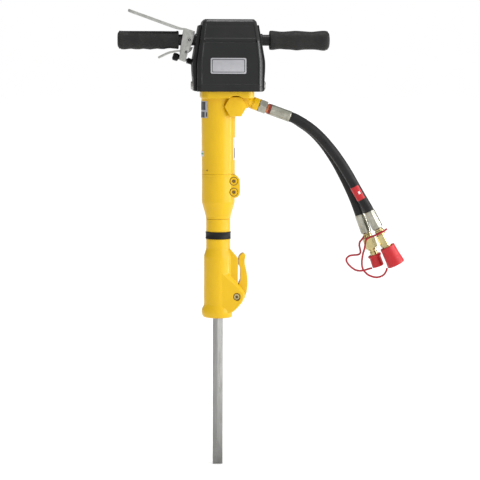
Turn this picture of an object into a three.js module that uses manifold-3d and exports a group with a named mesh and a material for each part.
// A hand-held hydraulic breaker: a T-handle on springs over a percussive hammer with a
// hexagon chisel, two hoses and their couplings. Millimetres, +Z up, -Y is the operator's front.
// The origin is where the hammer's axis crosses the axis of the handle bar.
import * as THREE from 'three';
import { mergeVertices } from 'three/addons/utils/BufferGeometryUtils.js';
import { ConvexGeometry } from 'three/addons/geometries/ConvexGeometry.js';
import Module from 'manifold-3d';

const wasm = await Module();
wasm.setup();

// ---------------------------------------------------------------- driving dimensions
const GAP = 0.3;              // clearance between pieces that touch on the real machine
const TOOL_AF = 22;           // chisel hexagon, across flats
const TOOL_TURN = 20.3;       // degrees that the chisel's front flat is turned towards +X

// handle
const BAR_R = 12.5;
const BAR_BORE_R = 9;
const GRIP_R = 19.8;
const GRIP_L = { inner: -90.5, outer: -228 };
const GRIP_R_SIDE = { inner: 115, outer: 251 };
const TRIGGER_PIVOT_X = -66.9;
const PIVOT_R = 3.8;          // trigger pivot
const CATCH_PIVOT = { x: -74.1, z: -27.2 };
const CATCH_PIN_R = 2.5;
const CHEEK_INNER = 13.2;     // half the gap between the trigger lever's cheeks
const SHEET = 2;              // thickness of the trigger lever's sheet

// throttle rod, which runs down to the right from its knob
const ROD_TILT = 17;
const ROD_KNOB = { x: -97, z: -38 };
const ROD_R = 3.5;
const ROD_LENGTH = 60.4;
const KNOB_HALF = 7;
const ROD_HOLE_R = 6;

// hood
const HOOD_X = 23;            // its centre line, to the right of the hammer's axis
const HOOD_HALF_X = 74;
const HOOD_WALL = 4;
const HOOD_BOTTOM = -114;
const HOOD_KNEE = -48;
const HOOD_ROOF = 46;
const PLATE_INNER = HOOD_HALF_X + 0.5;  // from the hood's centre line to a side plate
const PLATE_T = 7.5;          // cast side plates on the hood's flanks
const PLATE_HALF_Y = 40;
const HOOD_BOLT_Z = -102;
const HOOD_BOLT_R = 5;

// the frame inside the hood, which the springs push on
const YOKE = { halfX: 68.5, halfY: 55, top: -44, bottom: -52, foot: -112 };
const WINDOW = { left: -42.2, right: 84, halfY: 33 };
const POST = { x: 8, y: 46, r: 6 };     // the hammer's guide posts, front and rear

// hammer, from the top down
const BLOCK_TOP = -46;
const FLANGE_TOP = -112;
const FLANGE_BOTTOM = -130;
const BARREL_R = 39;
const SEAM_Z = -302;
const CYLINDER_R = 37.5;
const CONE_TOP = -364;
const CONE_BOTTOM = -399;
const HEAD_TOP = -404;
const HEAD_R = 27.5;
const BAND_TOP = -433.5;
const BAND_BOTTOM = -449.5;
const CHUCK_TOP = -490;
const CHUCK_R = 32.5;
const NOSE_Z = -630;
const CHAMBER_R = 20.3;

// tool retainer
const LATCH_PIVOT = { x: 41.8, z: -583 };
const LATCH_CAM_R = 27.8;
const LATCH_WIDTH = 23.6;
const EAR_HALF_Y = 31;

// chisel
const SHANK_TOP = -470;
const COLLAR_TOP = -552;
const COLLAR_BOTTOM = -566.8;
const COLLAR_R = 19;
const BEVEL_TOP = -911;
const TIP_Z = -970;

// hydraulic connections
const PORT_PLUG = { x: 36, z: -149, acrossFlats: 43.5 };
const PORT_HALF_Y = 34;       // half the depth of the port block
const ADAPTER = { x: 60, z: -135, y: 17 };  // where each hose's adapter leaves the port block
const ADAPTER_SLOPE = 20;     // degrees below the horizontal
const HOSE_R = 11.5;
const LANYARD_R = 2.2;

// how many sides a turned piece gets, by size
const ROUND = 20;
const SMALL_ROUND = 12;

// ---------------------------------------------------------------- finishes
const finish = (color, roughness, metalness) =>
  new THREE.MeshStandardMaterial({ color, roughness, metalness });
const YELLOW_PAINT = finish(0xe8b41c, 0.35, 0.0);
const BLACK_PLASTIC = finish(0x242627, 0.45, 0.0);
const BLACK_STEEL = finish(0x1c1d1e, 0.5, 0.3);
const BLACK_RUBBER = finish(0x2b2b2a, 0.85, 0.0);
const ZINC_SHEET = finish(0xa6a5a0, 0.4, 0.9);
const ZINC_FITTING = finish(0x9a967f, 0.35, 0.9);
const TOOL_STEEL = finish(0xa0a09c, 0.4, 0.9);
const DARK_STEEL = finish(0x5b5c5c, 0.45, 0.9);
const RED_PLASTIC = finish(0xc42530, 0.45, 0.0);
const BRONZE = finish(0xa8894c, 0.4, 0.9);

// ---------------------------------------------------------------- solids
const rad = THREE.MathUtils.degToRad;

// The triangles of a closed geometry with shared corners merged and slivers dropped.
function welded(geometry) {
  const bare = geometry.clone();
  bare.deleteAttribute('normal');
  bare.deleteAttribute('uv');
  const merged = mergeVertices(bare, 1e-3);
  const index = [];
  for (let i = 0; i < merged.index.count; i += 3) {
    const [a, b, c] = [0, 1, 2].map((k) => merged.index.getX(i + k));
    if (a !== b && b !== c && c !== a) index.push(a, b, c);
  }
  return { position: merged.attributes.position.array, index };
}

function signedVolume({ position, index }) {
  const corner = (i) => new THREE.Vector3().fromArray(position, 3 * i);
  let volume = 0;
  for (let i = 0; i < index.length; i += 3) {
    volume += corner(index[i]).dot(corner(index[i + 1]).cross(corner(index[i + 2]))) / 6;
  }
  return volume;
}

// A closed geometry as a solid whose faces point out.
function solid(geometry) {
  const skin = welded(geometry);
  if (signedVolume(skin) < 0) skin.index.reverse();
  return new wasm.Manifold(new wasm.Mesh({
    numProp: 3,
    vertProperties: new Float32Array(skin.position),
    triVerts: new Uint32Array(skin.index),
  }));
}

const join = (...parts) => parts.reduce((whole, part) => whole.add(part));
const cut = (body, ...tools) => tools.reduce((rest, tool) => rest.subtract(tool), body);
const common = (...parts) => parts.reduce((shared, part) => shared.intersect(part));

// A piece of the machine: a solid as a named mesh.
function piece(name, body, material) {
  const { vertProperties, triVerts, numProp } = body.getMesh();
  const geometry = new THREE.BufferGeometry();
  const position = new Float32Array((vertProperties.length / numProp) * 3);
  for (let i = 0; i < position.length / 3; i += 1) {
    for (let k = 0; k < 3; k += 1) position[3 * i + k] = vertProperties[numProp * i + k];
  }
  geometry.setAttribute('position', new THREE.BufferAttribute(position, 3));
  geometry.setIndex(Array.from(triVerts));
  geometry.computeVertexNormals();
  const mesh = new THREE.Mesh(geometry, material);
  mesh.name = name;
  return mesh;
}

// A turned solid about +Z from [radius, height] points. A profile that starts off the axis is
// closed into a ring.
function turned(profile, sides = ROUND) {
  const points = profile.map(([r, z]) => new THREE.Vector2(r, z));
  if (profile[0][0] > 0) points.push(points[0].clone());
  return solid(new THREE.LatheGeometry(points, sides).rotateX(Math.PI / 2));
}

// A cylinder about +Z from one height to another.
const rod = (r, low, high, sides = SMALL_ROUND) =>
  turned([[0, low], [r, low], [r, high], [0, high]], sides);
const ring = (inner, outer, low, high, sides = ROUND) =>
  turned([[inner, low], [outer, low], [outer, high], [inner, high]], sides);

// A cylinder to cut a hole with, whose flats stay outside the radius.
const hole = (r, low, high, sides = ROUND) => rod(r / Math.cos(Math.PI / sides), low, high, sides);

// A hexagonal bar about +Z with two flats facing -Y and +Y.
const hexBar = (acrossFlats, low, high) =>
  rod(acrossFlats / Math.sqrt(3), low, high, 6).rotate([0, 0, 30]);

// Solids made about +Z, laid along another axis.
const alongX = (body) => body.rotate([0, 90, 0]);
const alongY = (body) => body.rotate([-90, 0, 0]);

function extruded(outline, depth) {
  const shape = new THREE.Shape(outline.map(([u, v]) => new THREE.Vector2(u, v)));
  return new THREE.ExtrudeGeometry(shape, { depth, bevelEnabled: false });
}

// A plate with its outline in X and Z, centred on y = 0 or between two depths.
function slab(outline, width, yMiddle = 0) {
  return solid(extruded(outline, width).rotateX(Math.PI / 2).translate(0, yMiddle + width / 2, 0));
}

// A plate with its outline in Y and Z, centred on x = 0.
function sideSlab(outline, width) {
  const turnedOutline = outline.map(([y, z]) => [z, y]);
  return solid(extruded(turnedOutline, width).rotateY(-Math.PI / 2).translate(width / 2, 0, 0));
}

// A plate with its outline in X and Y, between two heights.
const plate = (outline, low, high) => solid(extruded(outline, high - low).translate(0, 0, low));

const box = ([x0, y0, z0], [x1, y1, z1]) =>
  plate([[x0, y0], [x1, y0], [x1, y1], [x0, y1]], z0, z1);

// Points on an arc about [x, z], from one angle to another in degrees.
function arc([x, z], radius, from, to, steps) {
  return Array.from({ length: steps + 1 }, (_, i) => {
    const angle = rad(from + ((to - from) * i) / steps);
    return [x + radius * Math.cos(angle), z + radius * Math.sin(angle)];
  });
}

// A round section swept along points.
function sweep(points, radius, sides, steps) {
  const knots = points.map((p) => new THREE.Vector3(...p));
  const path = new THREE.CatmullRomCurve3(knots, false, 'centripetal');
  const section = new THREE.Shape(arc([0, 0], radius, 0, 360 - 360 / sides, sides - 1)
    .map(([u, v]) => new THREE.Vector2(u, v)));
  return solid(new THREE.ExtrudeGeometry(section, { steps, extrudePath: path, bevelEnabled: false }));
}

// ---------------------------------------------------------------- hood and side plates
// Half width, half depth and corner chamfer of the hood at each height.
const HOOD_LEVELS = [
  { z: HOOD_BOTTOM, a: HOOD_HALF_X, b: 70, c: 11 },
  { z: HOOD_KNEE, a: HOOD_HALF_X, b: 70, c: 11 },
  { z: -5, a: 68, b: 70, c: 9 },
  { z: 28, a: 63.4, b: 57, c: 8 },
  { z: 40, a: 61, b: 50, c: 8 },
  { z: HOOD_ROOF, a: 55, b: 42, c: 7 },
];

// The hood's solid form, with its walls and roof moved in, from a height near its bottom.
function hoodForm(inset, bottom) {
  const points = [];
  for (const { z, a, b, c } of HOOD_LEVELS) {
    const level = z === HOOD_BOTTOM ? bottom : z - (z === HOOD_ROOF ? inset : 0);
    for (const sx of [-1, 1]) {
      for (const sy of [-1, 1]) {
        points.push(new THREE.Vector3(HOOD_X + sx * (a - inset), sy * (b - inset - c), level));
        points.push(new THREE.Vector3(HOOD_X + sx * (a - inset - c), sy * (b - inset), level));
      }
    }
  }
  return solid(new ConvexGeometry(points));
}

// Lays a piece made about +Z along the throttle rod, whose knob is at the piece's origin.
const onRod = (body) =>
  alongX(body).rotate([0, ROD_TILT, 0]).translate([ROD_KNOB.x, 0, ROD_KNOB.z]);

// Holes right through the hood and whatever is on its flanks.
const barHole = () => alongX(hole(BAR_R + GAP, -120, 160));
const boltHole = () =>
  alongX(hole(HOOD_BOLT_R + GAP, -80, 130, 10)).translate([0, 0, HOOD_BOLT_Z]);
const rodHole = () => onRod(rod(ROD_HOLE_R, -60, 60));

function hood() {
  const shell = cut(hoodForm(0, HOOD_BOTTOM), hoodForm(HOOD_WALL, HOOD_BOTTOM - 1));
  return piece('hood', cut(shell, barHole(), rodHole(), boltHole()), BLACK_PLASTIC);
}

function sidePlate(name, side) {
  const [inner, outer] = [PLATE_INNER, PLATE_INNER + PLATE_T];
  const outline = [
    [outer, HOOD_BOTTOM + 1], [outer, HOOD_KNEE],
    [70.5, 31.5], [64, 31.5], [inner, HOOD_KNEE], [inner, HOOD_BOTTOM + 1],
  ].map(([x, z]) => [HOOD_X + side * x, z]);
  const holes = [barHole(), boltHole()];
  if (side < 0) holes.push(rodHole());
  return piece(name, cut(slab(outline, 2 * PLATE_HALF_Y), ...holes), BLACK_STEEL);
}

function hoodBolt(name, side) {
  const face = HOOD_X + side * (PLATE_INNER + PLATE_T + GAP);
  const bolt = join(rod(10.5, 0, 2, 16), hexBar(16, 1, 5), rod(HOOD_BOLT_R, -17.5, 1, 10));
  return piece(name, bolt.rotate([0, side * 90, 0]).translate([face, 0, HOOD_BOLT_Z]), ZINC_SHEET);
}

// A rubber bellows between the side plate and the trigger, round the throttle rod.
function rodBoot() {
  const start = 26.5;
  const pitch = 4;
  const end = start + 3 * pitch;
  const bore = ROD_R + 0.8;
  const [valley, crest] = [6, 8];
  const folds = [0, 1, 2].flatMap((i) =>
    [[valley, start + pitch * i], [crest, start + pitch * (i + 0.5)]]);
  const boot = turned([[bore, start], ...folds, [valley, end], [bore, end]], SMALL_ROUND);
  return piece('rod_boot', onRod(boot), BLACK_RUBBER);
}

// ---------------------------------------------------------------- handle bar, grips and springs
function handleBar() {
  const [low, high] = [GRIP_L.outer + 6, GRIP_R_SIDE.outer - 6];
  const tube = alongX(ring(BAR_BORE_R, BAR_R, low, high, 24));
  const pinHole = alongY(hole(PIVOT_R + GAP, -20, 20, 10)).translate([TRIGGER_PIVOT_X, 0, 0]);
  return piece('handle_bar', cut(tube, pinHole), BLACK_STEEL);
}

// A grip is a sleeve with a closed, domed outer end; the right one has two waists for the fingers.
function grip(name, { inner, outer }, waisted) {
  const side = Math.sign(outer);
  const length = Math.abs(outer - inner);
  const endWall = 5;
  const r = GRIP_R + (waisted ? 1.4 : 0);
  const waists = waisted ? [[28, 42], [length - 50, length - 36]].flatMap(([from, to]) =>
    [[r, from - 10], [r - 2, from], [r - 2, to - 8], [r, to]]) : [];
  const bore = BAR_R + GAP;
  const profile = [
    [0, length - endWall], [bore, length - endWall], [bore, 0], [r - 1.5, 0], [r, 1.5], ...waists,
    [r, length - 7], [r - 4, length - 2], [r - 9, length], [0, length],
  ];
  const sleeve = turned(profile).rotate([0, side * 90, 0]).translate([inner, 0, 0]);
  return piece(name, sleeve, BLACK_RUBBER);
}

// A window frame with two end plates; the hammer's guide posts slide in it.
function handleYoke() {
  const [left, right] = [HOOD_X - YOKE.halfX, HOOD_X + YOKE.halfX];
  const frame = box([left, -YOKE.halfY, YOKE.bottom], [right, YOKE.halfY, YOKE.top]);
  const endPlates = [[left, WINDOW.left], [WINDOW.right + 4, right]].map(([x0, x1]) =>
    box([x0, -25, YOKE.foot], [x1, 25, YOKE.top]));
  const window = box([WINDOW.left, -WINDOW.halfY, YOKE.foot - 10], [WINDOW.right, WINDOW.halfY, 0]);
  const rodNotch = box([left - 1, -11, -72], [WINDOW.left + 1.2, 11, 0]);
  const postHoles = [-1, 1].map((side) =>
    hole(POST.r + 0.5, -80, 0, 12).translate([POST.x, side * POST.y, 0]));
  const body = cut(join(frame, ...endPlates), window, rodNotch, ...postHoles, boltHole());
  return piece('handle_yoke', body, DARK_STEEL);
}

// A compression spring round a guide post.
function suspensionSpring(name, side) {
  const turns = 4;
  const perTurn = 8;
  const [wire, coil] = [1.7, 9.6];
  const [low, high] = [FLANGE_TOP + wire + GAP, YOKE.bottom - wire - GAP];
  const points = Array.from({ length: turns * perTurn + 1 }, (_, i) => {
    const angle = (2 * Math.PI * i) / perTurn;
    const height = low + ((high - low) * i) / (turns * perTurn);
    return [POST.x + coil * Math.cos(angle), side * POST.y + coil * Math.sin(angle), height];
  });
  return piece(name, sweep(points, wire, 5, turns * perTurn), DARK_STEEL);
}

// ---------------------------------------------------------------- trigger
const LEVER_STRIP = [
  [-54, 18.6], [-76.5, 25.6], [-84, 25.4], [-99, 30.6], [-203, 67.6], [-204.6, 63],
  [-101, 26], [-87, 22.8], [-80, 22.6], [-76.5, 23], [-54.6, 16.6],
];
const LEVER_CHEEK = [
  [-79, 22.8], [-81, 16], [-82, 7], [-85, -7], [-86.5, -25], [-90, -44], [-76, -50],
  [-74.7, -44.5], [-71, -32], [-67.5, -24], [-61, -9], [-57, 5], [-54.3, 17], [-76.5, 24],
];

// A hole along Y for a pin at a place in X and Z.
const crossHole = (r, { x, z }, sides = 12) => alongY(hole(r, -40, 40, sides)).translate([x, 0, z]);

function triggerLever() {
  const cheeks = [-1, 1].map((side) => slab(LEVER_CHEEK, SHEET, side * (CHEEK_INNER + SHEET / 2)));
  const strip = slab(LEVER_STRIP, 2 * (CHEEK_INNER + SHEET));
  const pivotHole = crossHole(PIVOT_R + GAP, { x: TRIGGER_PIVOT_X, z: 0 });
  const catchHole = crossHole(CATCH_PIN_R + GAP, CATCH_PIVOT);
  return piece('trigger_lever', cut(join(strip, ...cheeks), pivotHole, catchHole), ZINC_SHEET);
}

// A hollow rivet along Y through both cheeks.
function rivet(name, { x, z }, shank, bore, head) {
  const outside = CHEEK_INNER + SHEET + GAP;
  const body = turned([
    [bore, -outside - 1.5], [head, -outside - 1.5], [head, -outside], [shank, -outside],
    [shank, outside], [head, outside], [head, outside + 1.5], [bore, outside + 1.5],
  ], SMALL_ROUND);
  return piece(name, alongY(body).translate([x, 0, z]), ZINC_SHEET);
}

// The safety catch, seen from the front and measured from its pin.
const CATCH_OUTLINE = [
  [0, 5], [-14, 5], [-25, 4], [-38, 2], [-50, -4], [-63, -10],
  [-62, -13.6], [-49, -7.4], [-37, -1.2], [-24, 0.6], [-14, 1.4], [-5, -2], [0, -5],
  [5, -2.4], [13, 3.6], [11.4, 7.4], [3, 4.6],
];

function safetyCatch() {
  const { x, z } = CATCH_PIVOT;
  const body = slab(CATCH_OUTLINE.map(([u, v]) => [x + u, z + v]), 17);
  return piece('safety_catch', cut(body, crossHole(CATCH_PIN_R + GAP, CATCH_PIVOT)), ZINC_SHEET);
}

function throttleRod() {
  const shaft = rod(ROD_R, -KNOB_HALF, ROD_LENGTH - KNOB_HALF, 10);
  return piece('throttle_rod', onRod(shaft), DARK_STEEL);
}

function rodKnob() {
  const [valley, crest] = [6.4, 7.2];
  const ribs = [-6, -2, 2].flatMap((s) => [[crest, s], [crest, s + 2], [valley, s + 3]]);
  const bore = ROD_R + GAP;
  const knob = turned([[bore, -KNOB_HALF], [valley, -KNOB_HALF], ...ribs, [valley, 6.5], [bore, 6.5]],
    SMALL_ROUND);
  return piece('rod_knob', onRod(knob), BLACK_RUBBER);
}

// ---------------------------------------------------------------- hammer: backhead
const LINER_R = 26;
const VALVE_TOP = -190;
const ACCUMULATOR = { x: 48, r: 20, floor: -100 };
const THROTTLE = { z: -58, boreR: 6.8 };
const PLUG_SHANK_R = 13;
const ROOT_Z = -116;          // the flange and the barrel reach up into the block to here

const BLOCK = { left: -34, right: 79, halfY: 30 };
const FLANGE_OUTLINE = [
  [-41.4, -44], [-30, -56], [68, -56], [79, -44], [79, 44], [68, 56], [-30, 56], [-41.4, 44],
];
const PORT_OUTLINE = [[0, -126], [62.8, -126], [51.6, -158], [45, -171], [0, -171]];

// The yellow casting at the hammer's top, without its bores.
function backheadForm() {
  const block = box([BLOCK.left, -BLOCK.halfY, ROOT_Z], [BLOCK.right, BLOCK.halfY, BLOCK_TOP]);
  const flange = plate(FLANGE_OUTLINE, FLANGE_BOTTOM, FLANGE_TOP);
  const barrel = turned([
    [0, SEAM_Z + GAP], [BARREL_R - 1.5, SEAM_Z + GAP], [BARREL_R, FLANGE_BOTTOM],
    [BARREL_R, ROOT_Z], [0, ROOT_Z],
  ]);
  return join(block, flange, barrel, slab(PORT_OUTLINE, 2 * PORT_HALF_Y));
}

function backhead() {
  const pistonRoom = rod(16, SEAM_Z, -172);
  const mainBore = join(hole(LINER_R + GAP, SEAM_Z - 5, VALVE_TOP + GAP), pistonRoom);
  const gasRoom = hole(ACCUMULATOR.r, ACCUMULATOR.floor, 0).translate([ACCUMULATOR.x, 0, 0]);
  const throttle = alongX(hole(THROTTLE.boreR, -60, 16, SMALL_ROUND)).translate([0, 0, THROTTLE.z]);
  const plugBore = alongY(hole(PLUG_SHANK_R + GAP, -60, -18)).translate([PORT_PLUG.x, 0, PORT_PLUG.z]);
  const posts = [-1, 1].map((side) =>
    hole(POST.r + GAP, -140, 0, 12).translate([POST.x, side * POST.y, 0]));
  const spanner = PORT_PLUG.acrossFlats / 2 + 2.5;
  const plugRoom = box([PORT_PLUG.x - 28, -60, PORT_PLUG.z - 40],
    [PORT_PLUG.x + 28, -PORT_HALF_Y, PORT_PLUG.z + spanner]);
  const adapterRoom = [-1, 1].map((side) =>
    aimed(hole(14, 0, 40, 16), [ADAPTER.x, side * ADAPTER.y, ADAPTER.z], ADAPTER_SLOPE));
  const bored = cut(backheadForm(), mainBore, gasRoom, throttle, plugBore, ...posts);
  return piece('backhead', cut(bored, plugRoom, ...adapterRoom), YELLOW_PAINT);
}

// The large hexagon plug on the front of the port block.
function portPlug() {
  const depth = 12;
  const body = join(hexBar(PORT_PLUG.acrossFlats, 0, 11), rod(PLUG_SHANK_R, -depth, 1));
  const laid = body.rotate([90, 0, 0]).translate([PORT_PLUG.x, -PORT_HALF_Y - GAP, PORT_PLUG.z]);
  return piece('port_plug', laid, YELLOW_PAINT);
}

function guidePost(name, side) {
  const head = rod(11, YOKE.top + GAP, YOKE.top + 10);
  const post = join(rod(POST.r, FLANGE_BOTTOM + 1, YOKE.top + 16), head);
  return piece(name, post.translate([POST.x, side * POST.y, 0]), DARK_STEEL);
}

function accumulatorCover() {
  const [low, high] = [BLOCK_TOP + GAP, BLOCK_TOP + 11];
  const cover = turned([[0, low], [26, low], [26, high - 3], [20, high], [0, high]]);
  return piece('accumulator_cover', cover.translate([ACCUMULATOR.x, 0, 0]), DARK_STEEL);
}

// A rubber cup that parts the gas from the oil.
function accumulatorDiaphragm() {
  const { x, floor } = ACCUMULATOR;
  const wall = 2;
  const r = ACCUMULATOR.r - GAP;
  const waist = r * 0.6;
  const top = BLOCK_TOP - GAP;
  const cup = turned([
    [0, floor + 8], [waist, floor + 10], [r, floor + 30], [r, top],
    [r - wall, top], [r - wall, floor + 31], [waist - wall, floor + 12], [0, floor + 10],
  ]);
  return piece('accumulator_diaphragm', cup.translate([x, 0, 0]), BLACK_RUBBER);
}

function throttleSpool() {
  const land = THROTTLE.boreR - GAP;
  const neck = 4;
  const spool = turned([
    [0, -44], [6, -44], [6, -40], [neck, -39], [neck, -36], [land, -35.5], [land, -14],
    [neck, -12], [neck, -4], [land, -2], [land, 8], [0, 8],
  ], SMALL_ROUND);
  return piece('throttle_spool', alongX(spool).translate([0, 0, THROTTLE.z]), TOOL_STEEL);
}

// ---------------------------------------------------------------- hammer: percussion
const LINER_TOP = -246;
const LINER_STEP = -372;
const LINER_BOTTOM = -398;
const PISTON_R = { tail: 13.8, land: 18.1, rod: 15 };
const SLEEVE_BORE_R = 20;

function valveSleeve() {
  const neck = PISTON_R.tail + 0.4;
  const bottom = LINER_TOP + GAP;
  const sleeve = turned([
    [SLEEVE_BORE_R, bottom], [LINER_R, bottom], [LINER_R, VALVE_TOP],
    [neck, VALVE_TOP], [neck, VALVE_TOP - 6], [SLEEVE_BORE_R, VALVE_TOP - 6],
  ]);
  return piece('valve_sleeve', sleeve, TOOL_STEEL);
}

const valveSpool = () =>
  piece('valve_spool', ring(PISTON_R.tail + 0.4, SLEEVE_BORE_R - GAP, -240, -216), BRONZE);

function cylinderLiner() {
  const [neck, bore, foot] = [PISTON_R.tail + 0.4, PISTON_R.land + 0.4, PISTON_R.rod + 0.4];
  const liner = turned([
    [foot, LINER_BOTTOM], [20.5, LINER_BOTTOM], [20.5, LINER_STEP], [LINER_R, LINER_STEP],
    [LINER_R, LINER_TOP], [neck, LINER_TOP], [neck, -262], [bore, -262], [bore, -368], [foot, -368],
  ]);
  return piece('cylinder_liner', liner, TOOL_STEEL);
}

function piston() {
  const { tail, land, rod: rodR } = PISTON_R;
  const body = turned([
    [0, -443.5], [14, -443.5], [rodR, -442], [rodR, -350], [land, -350], [land, -312],
    [tail, -312], [tail, -210], [0, -210],
  ]);
  return piece('piston', body, TOOL_STEEL);
}

const BOSS = { left: 20, right: 48, top: -304, bottom: -354, halfY: 26 };
const PLUG_X = 34;
const PLUG_Z = [-318, -343];

// The tube round the liner, with a boss on its right for two plugs.
function cylinder() {
  const foot = HEAD_TOP + GAP;
  const inner = LINER_STEP - GAP;
  const tube = turned([
    [LINER_R + GAP, SEAM_Z], [CYLINDER_R, SEAM_Z], [CYLINDER_R, CONE_TOP], [28.6, CONE_BOTTOM],
    [28, foot], [20.8, foot], [20.8, inner], [LINER_R + GAP, inner],
  ]);
  const { left, right, top, bottom, halfY } = BOSS;
  const boss = slab([
    [left, top], [right - 9, top], [right - 3, top - 3], [right, top - 9],
    [right, bottom + 9], [right - 3, bottom + 3], [right - 9, bottom], [left, bottom],
  ], 2 * halfY);
  const bore = hole(LINER_R + GAP, LINER_STEP, -290);
  const seats = PLUG_Z.map((z) =>
    alongY(hole(9.6, -halfY - 10, -halfY + 10, 16)).translate([PLUG_X, 0, z]));
  return piece('cylinder', cut(join(tube, cut(boss, bore)), ...seats), YELLOW_PAINT);
}

// A socket plug screwed into the boss from the front.
function bossPlug(name, z) {
  const body = cut(rod(9.3, -9.5, 1.5, 16), hexBar(8, -4, 3));
  const laid = body.rotate([90, 0, 0]).translate([PLUG_X, -BOSS.halfY, z]);
  return piece(name, laid, YELLOW_PAINT);
}

const rodSeal = () =>
  piece('rod_seal', ring(15.3, 20.5, HEAD_TOP + 0.6, LINER_BOTTOM - GAP), BLACK_RUBBER);

// ---------------------------------------------------------------- hammer: front head
const RIB_X = 44.5;
const BUSH = { r: 18, top: -458, bottom: -526.2 };
const PIN_R = 6;
const PIN_HEAD_R = 8;
const CHUCK_PROFILE = [
  [HEAD_R, -472], [CHUCK_R, CHUCK_TOP], [CHUCK_R, -602], [35.9, -609.5], [37.4, -616],
  [36.4, -623], [32, NOSE_Z], [0, NOSE_Z],
];
const EAR_OUTLINE = [
  [0, -531.5], [9.6, -531.8], [41, -561], [58.5, -576], [60.2, -580], [56, -591],
  [42.5, -607], [31, -617], [0, -620],
];

// The tube that holds the tool, with a groove for the band, a rib and the latch's two ears.
function frontHeadForm() {
  const groove = 26.2;
  const tube = turned([
    [0, HEAD_TOP], [HEAD_R, HEAD_TOP], [HEAD_R, BAND_TOP + GAP], [groove, BAND_TOP + GAP],
    [groove, BAND_BOTTOM - GAP], [HEAD_R, BAND_BOTTOM - GAP], ...CHUCK_PROFILE,
  ]);
  const rib = slab([[15, -473.5], [HEAD_R, -473.5], [RIB_X, -493.5], [RIB_X, -560], [15, -560]], 36);
  return join(tube, rib, slab(EAR_OUTLINE, 2 * EAR_HALF_Y));
}

function frontHead() {
  const bore = join(rod(16.5, HEAD_TOP - 60, 0), hole(BUSH.r + GAP, BUSH.bottom - 5, BUSH.top + GAP),
    hole(CHAMBER_R, NOSE_Z - 5, BUSH.bottom - GAP));
  const { x, z } = LATCH_PIVOT;
  const room = LATCH_WIDTH + 0.8;
  const latchSlot = slab(arc([x, z], LATCH_CAM_R + 1, 0, 340, 17), room);
  const openSide = slab([[x, z + 27], [x + 40, z + 27], [x + 40, z - 26], [x, z - 28]], room);
  const pinHole = crossHole(PIN_R + GAP, LATCH_PIVOT, 14);
  const headSeat = alongY(hole(PIN_HEAD_R + GAP, -EAR_HALF_Y - 5, -EAR_HALF_Y + 8.3, 16));
  const body = cut(frontHeadForm(), bore, latchSlot, openSide, pinHole, headSeat.translate([x, 0, z]));
  return piece('front_head', body, YELLOW_PAINT);
}

const frontBand = () => piece('front_band', ring(26.5, 28.8, BAND_BOTTOM, BAND_TOP), BLACK_RUBBER);

function toolBush() {
  const body = rod(BUSH.r, BUSH.bottom, BUSH.top, ROUND);
  const socket = hexBar(TOOL_AF + 0.9, BUSH.bottom - 5, BUSH.top + 5).rotate([0, 0, TOOL_TURN]);
  return piece('tool_bush', cut(body, socket), BRONZE);
}

function latchPin() {
  const shank = rod(PIN_R, -EAR_HALF_Y, EAR_HALF_Y - 2, 14);
  const head = rod(PIN_HEAD_R, EAR_HALF_Y - 8, EAR_HALF_Y - 0.4, 16);
  const socket = hexBar(8, EAR_HALF_Y - 5, EAR_HALF_Y + 5);
  const laid = cut(join(shank, head), socket).rotate([90, 0, 0]);
  return piece('latch_pin', laid.translate([LATCH_PIVOT.x, 0, LATCH_PIVOT.z]), ZINC_FITTING);
}

// ---------------------------------------------------------------- chisel and its latch
// The bar is ground to a flat cutting edge along X.
function chisel() {
  const bar = hexBar(TOOL_AF, TIP_Z, SHANK_TOP).rotate([0, 0, TOOL_TURN]);
  const [halfBar, halfEdge] = [TOOL_AF * 0.58, 1];
  const wedge = sideSlab([
    [-halfBar, SHANK_TOP + 1], [-halfBar, BEVEL_TOP], [-halfEdge, TIP_Z - 0.1],
    [halfEdge, TIP_Z - 0.1], [halfBar, BEVEL_TOP], [halfBar, SHANK_TOP + 1],
  ], 2 * TOOL_AF);
  const collar = turned([
    [0, COLLAR_BOTTOM], [COLLAR_R, COLLAR_BOTTOM], [COLLAR_R, COLLAR_TOP - 3],
    [COLLAR_R - 4, COLLAR_TOP], [0, COLLAR_TOP],
  ]);
  return piece('chisel', join(common(bar, wedge), collar), TOOL_STEEL);
}

// From the finger tip at the top, down the outside and up the inside.
const LEVER_OUTLINE = [
  [46.2, -489.5], [49, -485], [55, -482.6], [60, -484.5], [61.3, -489], [60, -499],
  [60.6, -508], [64, -522], [66.6, -538], [66.8, -556], [65, -571], [60, -586], [54, -594],
  [LATCH_PIVOT.x, LATCH_PIVOT.z - 14], [LATCH_PIVOT.x, LATCH_PIVOT.z],
  [46, -557], [46.4, -552], [50.2, -545], [50.2, -518], [49, -513], [46.2, -510],
];

// A round lobe under the latch's hub holds the chisel's collar.
function latch() {
  const { x, z } = LATCH_PIVOT;
  const lever = slab(LEVER_OUTLINE, LATCH_WIDTH);
  const hub = alongY(rod(15, -LATCH_WIDTH / 2, LATCH_WIDTH / 2, 18)).translate([x, 0, z]);
  const lobe = slab([[x, z], ...arc([x, z], LATCH_CAM_R, 145, 220, 8)], LATCH_WIDTH);
  const pinHole = crossHole(PIN_R + GAP, LATCH_PIVOT, 14);
  return piece('latch', cut(join(lever, hub, lobe), pinHole), YELLOW_PAINT);
}

// ---------------------------------------------------------------- hoses and couplings
// Lays a fitting made about +Z so that it points right and down from a place.
const aimed = (body, [x, y, z], degreesDown) => body.rotate([0, 90 + degreesDown, 0]).translate([x, y, z]);

// The fittings of one hose where it leaves the hammer, front (side = -1) or rear (side = 1),
// each between two distances from the port block.
function portFitting(name, side, body, material) {
  return piece(name, aimed(body, [ADAPTER.x, side * ADAPTER.y, ADAPTER.z], ADAPTER_SLOPE), material);
}

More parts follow.
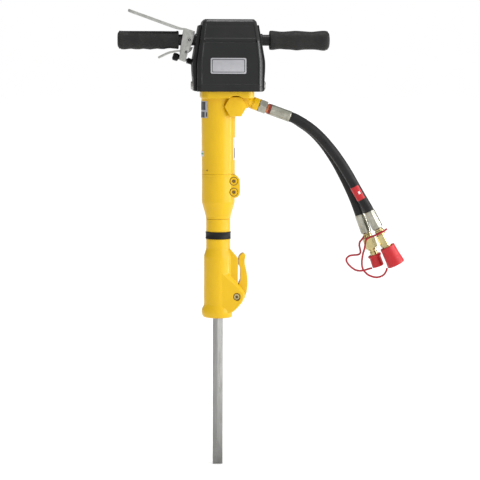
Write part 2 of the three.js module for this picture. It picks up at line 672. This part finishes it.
const adapter = (name, side) =>
  portFitting(name, side, join(rod(13.5, GAP, 20, 16), hexBar(27, 19, 32)), YELLOW_PAINT);
const swivelNut = (name, side) =>
  portFitting(name, side, join(hexBar(27, 32 + GAP, 50.5), rod(9, 50, 59.7)), ZINC_FITTING);
const portFerrule = (name, side) =>
  portFitting(name, side, ring(6, 12.5, 60, 107.5, 16), ZINC_FITTING);

// Each hose's middle line, straight out of its ferrule and down to its end fitting.
const FRONT_HOSE = [
  [161.4, -17, -171.9], [173, -17, -176.3], [190.6, -17, -186.2], [207.3, -17, -197.5],
  [222.8, -17, -210.4], [237.1, -17, -224.6], [250.4, -17, -239.8], [263, -16.6, -255.5],
  [274.9, -16.1, -271.8], [286.1, -15.7, -288.6], [296.8, -15.3, -305.8], [306.8, -15, -323.3],
  [316.9, -14.6, -340.8], [327.1, -14.2, -358.2], [337.6, -14, -375.4], [343.4, -14, -386],
];
const REAR_HOSE = [
  [161.4, 17, -171.9], [173.6, 17, -176.6], [190, 17, -187.1], [206.1, 17, -198],
  [221, 17, -210.6], [234.4, 17, -224.7], [246.7, 17, -239.8], [257.9, 16.8, -255.7],
  [268.4, 16.4, -272.1], [278.2, 15.9, -288.9], [287.3, 15.5, -306.1], [296.1, 15, -323.5],
  [304.5, 14.7, -341.1], [312.4, 14.4, -358.9], [319.6, 14, -377], [326.3, 14, -395.5],
];

const hose = (name, route) => piece(name, sweep(route, HOSE_R, 10, 18), BLACK_RUBBER);

// The fittings at a hose's end hang from one point along one slope, given in degrees from +X down.
const HOSE_END = {
  front: { at: [343.6, -14, -386.4], down: 62.4 },
  rear: { at: [326.4, 14, -395.8], down: 70 },
};
const FERRULE = 46;           // its length

function endFerrule(name, end) {
  const body = turned([
    [4, 0], [12, 0], [12.4, 3], [12.4, FERRULE - 4], [10.5, FERRULE], [4, FERRULE],
  ], 16);
  return piece(name, aimed(body, end.at, end.down), ZINC_FITTING);
}

// A quick coupling: a neck, a hexagon, a sleeve and the flat face that meets the other half.
function coupling(name, end, { hexFrom, hexTo, acrossFlats, noseR, noseTo }) {
  const body = join(rod(8.5, FERRULE + GAP, hexTo), hexBar(acrossFlats, hexFrom, hexTo),
    rod(noseR, hexTo - 1, noseTo, 16));
  return piece(name, aimed(body, end.at, end.down), ZINC_FITTING);
}

function largeCap() {
  const cup = turned([[0, 122.5], [10.8, 122.5], [10.8, 92], [17.4, 92], [20, 134], [17, 137], [0, 137]]);
  return piece('large_cap', aimed(cup, HOSE_END.front.at, HOSE_END.front.down), RED_PLASTIC);
}

function smallCap() {
  const cup = turned([[0, 119], [9.2, 119], [9.2, 99], [15.5, 99], [15.5, 104], [12.7, 104.5], [12.7, 126],
    [11.5, 128], [0, 128]]);
  return piece('small_cap', aimed(cup, HOSE_END.rear.at, HOSE_END.rear.down), RED_PLASTIC);
}

// The caps' lanyards, from the coupling that each is tied to, to the outer end of its cap.
const SMALL_LANYARD = [
  [334.5, 1, -446], [331.2, 4, -452], [326, 6, -459], [324.8, 7, -467],
  [327, 7.5, -477], [327.4, 7.5, -484.5], [322, 7.5, -488.6], [313, 7.5, -489.4],
  [303, 7.5, -491], [296.4, 7.5, -496.4], [295.6, 8, -503], [300, 9, -510.6],
  [308, 10.5, -518.4], [317.4, 12, -524.4], [328, 13.5, -526.6], [340.6, 14, -524.4],
  [349, 14, -521.8], [355.6, 14, -520.4],
];
const LARGE_LANYARD = [
  [383, -28, -426.5], [373, -30.5, -432.5], [363.4, -29, -438], [354.6, -18, -443],
  [346, -8, -447.6], [338.6, -4, -454], [337, -3, -463.4], [335.2, -3, -474.8],
  [332.3, -3, -484.6], [330.5, -3, -495.6], [329.7, -3, -507.2], [331.6, -3, -518.8],
  [337, -3, -527.4], [347, -4.6, -535.4], [363, -8, -539.4], [377.6, -11, -534.6],
  [384.6, -13.4, -524.6], [386.4, -14, -517.4],
];

const lanyard = (name, route) => piece(name, sweep(route, LANYARD_R, 8, 34), RED_PLASTIC);

// ---------------------------------------------------------------- assembly
function handleAssembly() {
  const group = new THREE.Group();
  group.add(
    hood(), sidePlate('side_plate_left', -1), sidePlate('side_plate_right', 1),
    hoodBolt('hood_bolt_left', -1), hoodBolt('hood_bolt_right', 1), handleYoke(), handleBar(),
    grip('grip_left', GRIP_L, false), grip('grip_right', GRIP_R_SIDE, true), rodBoot(),
    rivet('trigger_pivot_pin', { x: TRIGGER_PIVOT_X, z: 0 }, PIVOT_R, 1.6, 5.4),
    suspensionSpring('suspension_spring_front', -1), suspensionSpring('suspension_spring_rear', 1),
  );
  return group;
}

function triggerAssembly() {
  const group = new THREE.Group();
  group.add(
    triggerLever(), rivet('catch_pin', CATCH_PIVOT, CATCH_PIN_R, 1.1, 4), safetyCatch(),
    throttleRod(), rodKnob(),
  );
  return group;
}

function hammerAssembly() {
  const group = new THREE.Group();
  group.add(
    backhead(), portPlug(), guidePost('guide_post_front', -1), guidePost('guide_post_rear', 1),
    accumulatorCover(), accumulatorDiaphragm(), throttleSpool(), valveSleeve(), valveSpool(),
    cylinderLiner(), piston(), cylinder(), bossPlug('boss_plug_upper', PLUG_Z[0]),
    bossPlug('boss_plug_lower', PLUG_Z[1]), rodSeal(), frontHead(), frontBand(), toolBush(),
    latchPin(), latch(), chisel(),
  );
  return group;
}

function hoseAssembly() {
  const group = new THREE.Group();
  for (const [name, side, route] of [['front', -1, FRONT_HOSE], ['rear', 1, REAR_HOSE]]) {
    group.add(
      adapter(`${name}_adapter`, side), swivelNut(`${name}_swivel_nut`, side),
      portFerrule(`${name}_port_ferrule`, side), hose(`${name}_hose`, route),
      endFerrule(`${name}_end_ferrule`, HOSE_END[name]),
    );
  }
  const large = { hexFrom: 60, hexTo: 89, acrossFlats: 24, noseR: 10.4, noseTo: 121.5 };
  const small = { hexFrom: 57, hexTo: 83, acrossFlats: 24, noseR: 8.8, noseTo: 118 };
  group.add(
    coupling('large_coupling', HOSE_END.front, large), largeCap(),
    coupling('small_coupling', HOSE_END.rear, small), smallCap(),
    lanyard('small_lanyard', SMALL_LANYARD), lanyard('large_lanyard', LARGE_LANYARD),
  );
  return group;
}

const breaker = new THREE.Group();
breaker.add(handleAssembly(), triggerAssembly(), hammerAssembly(), hoseAssembly());

export default breaker;
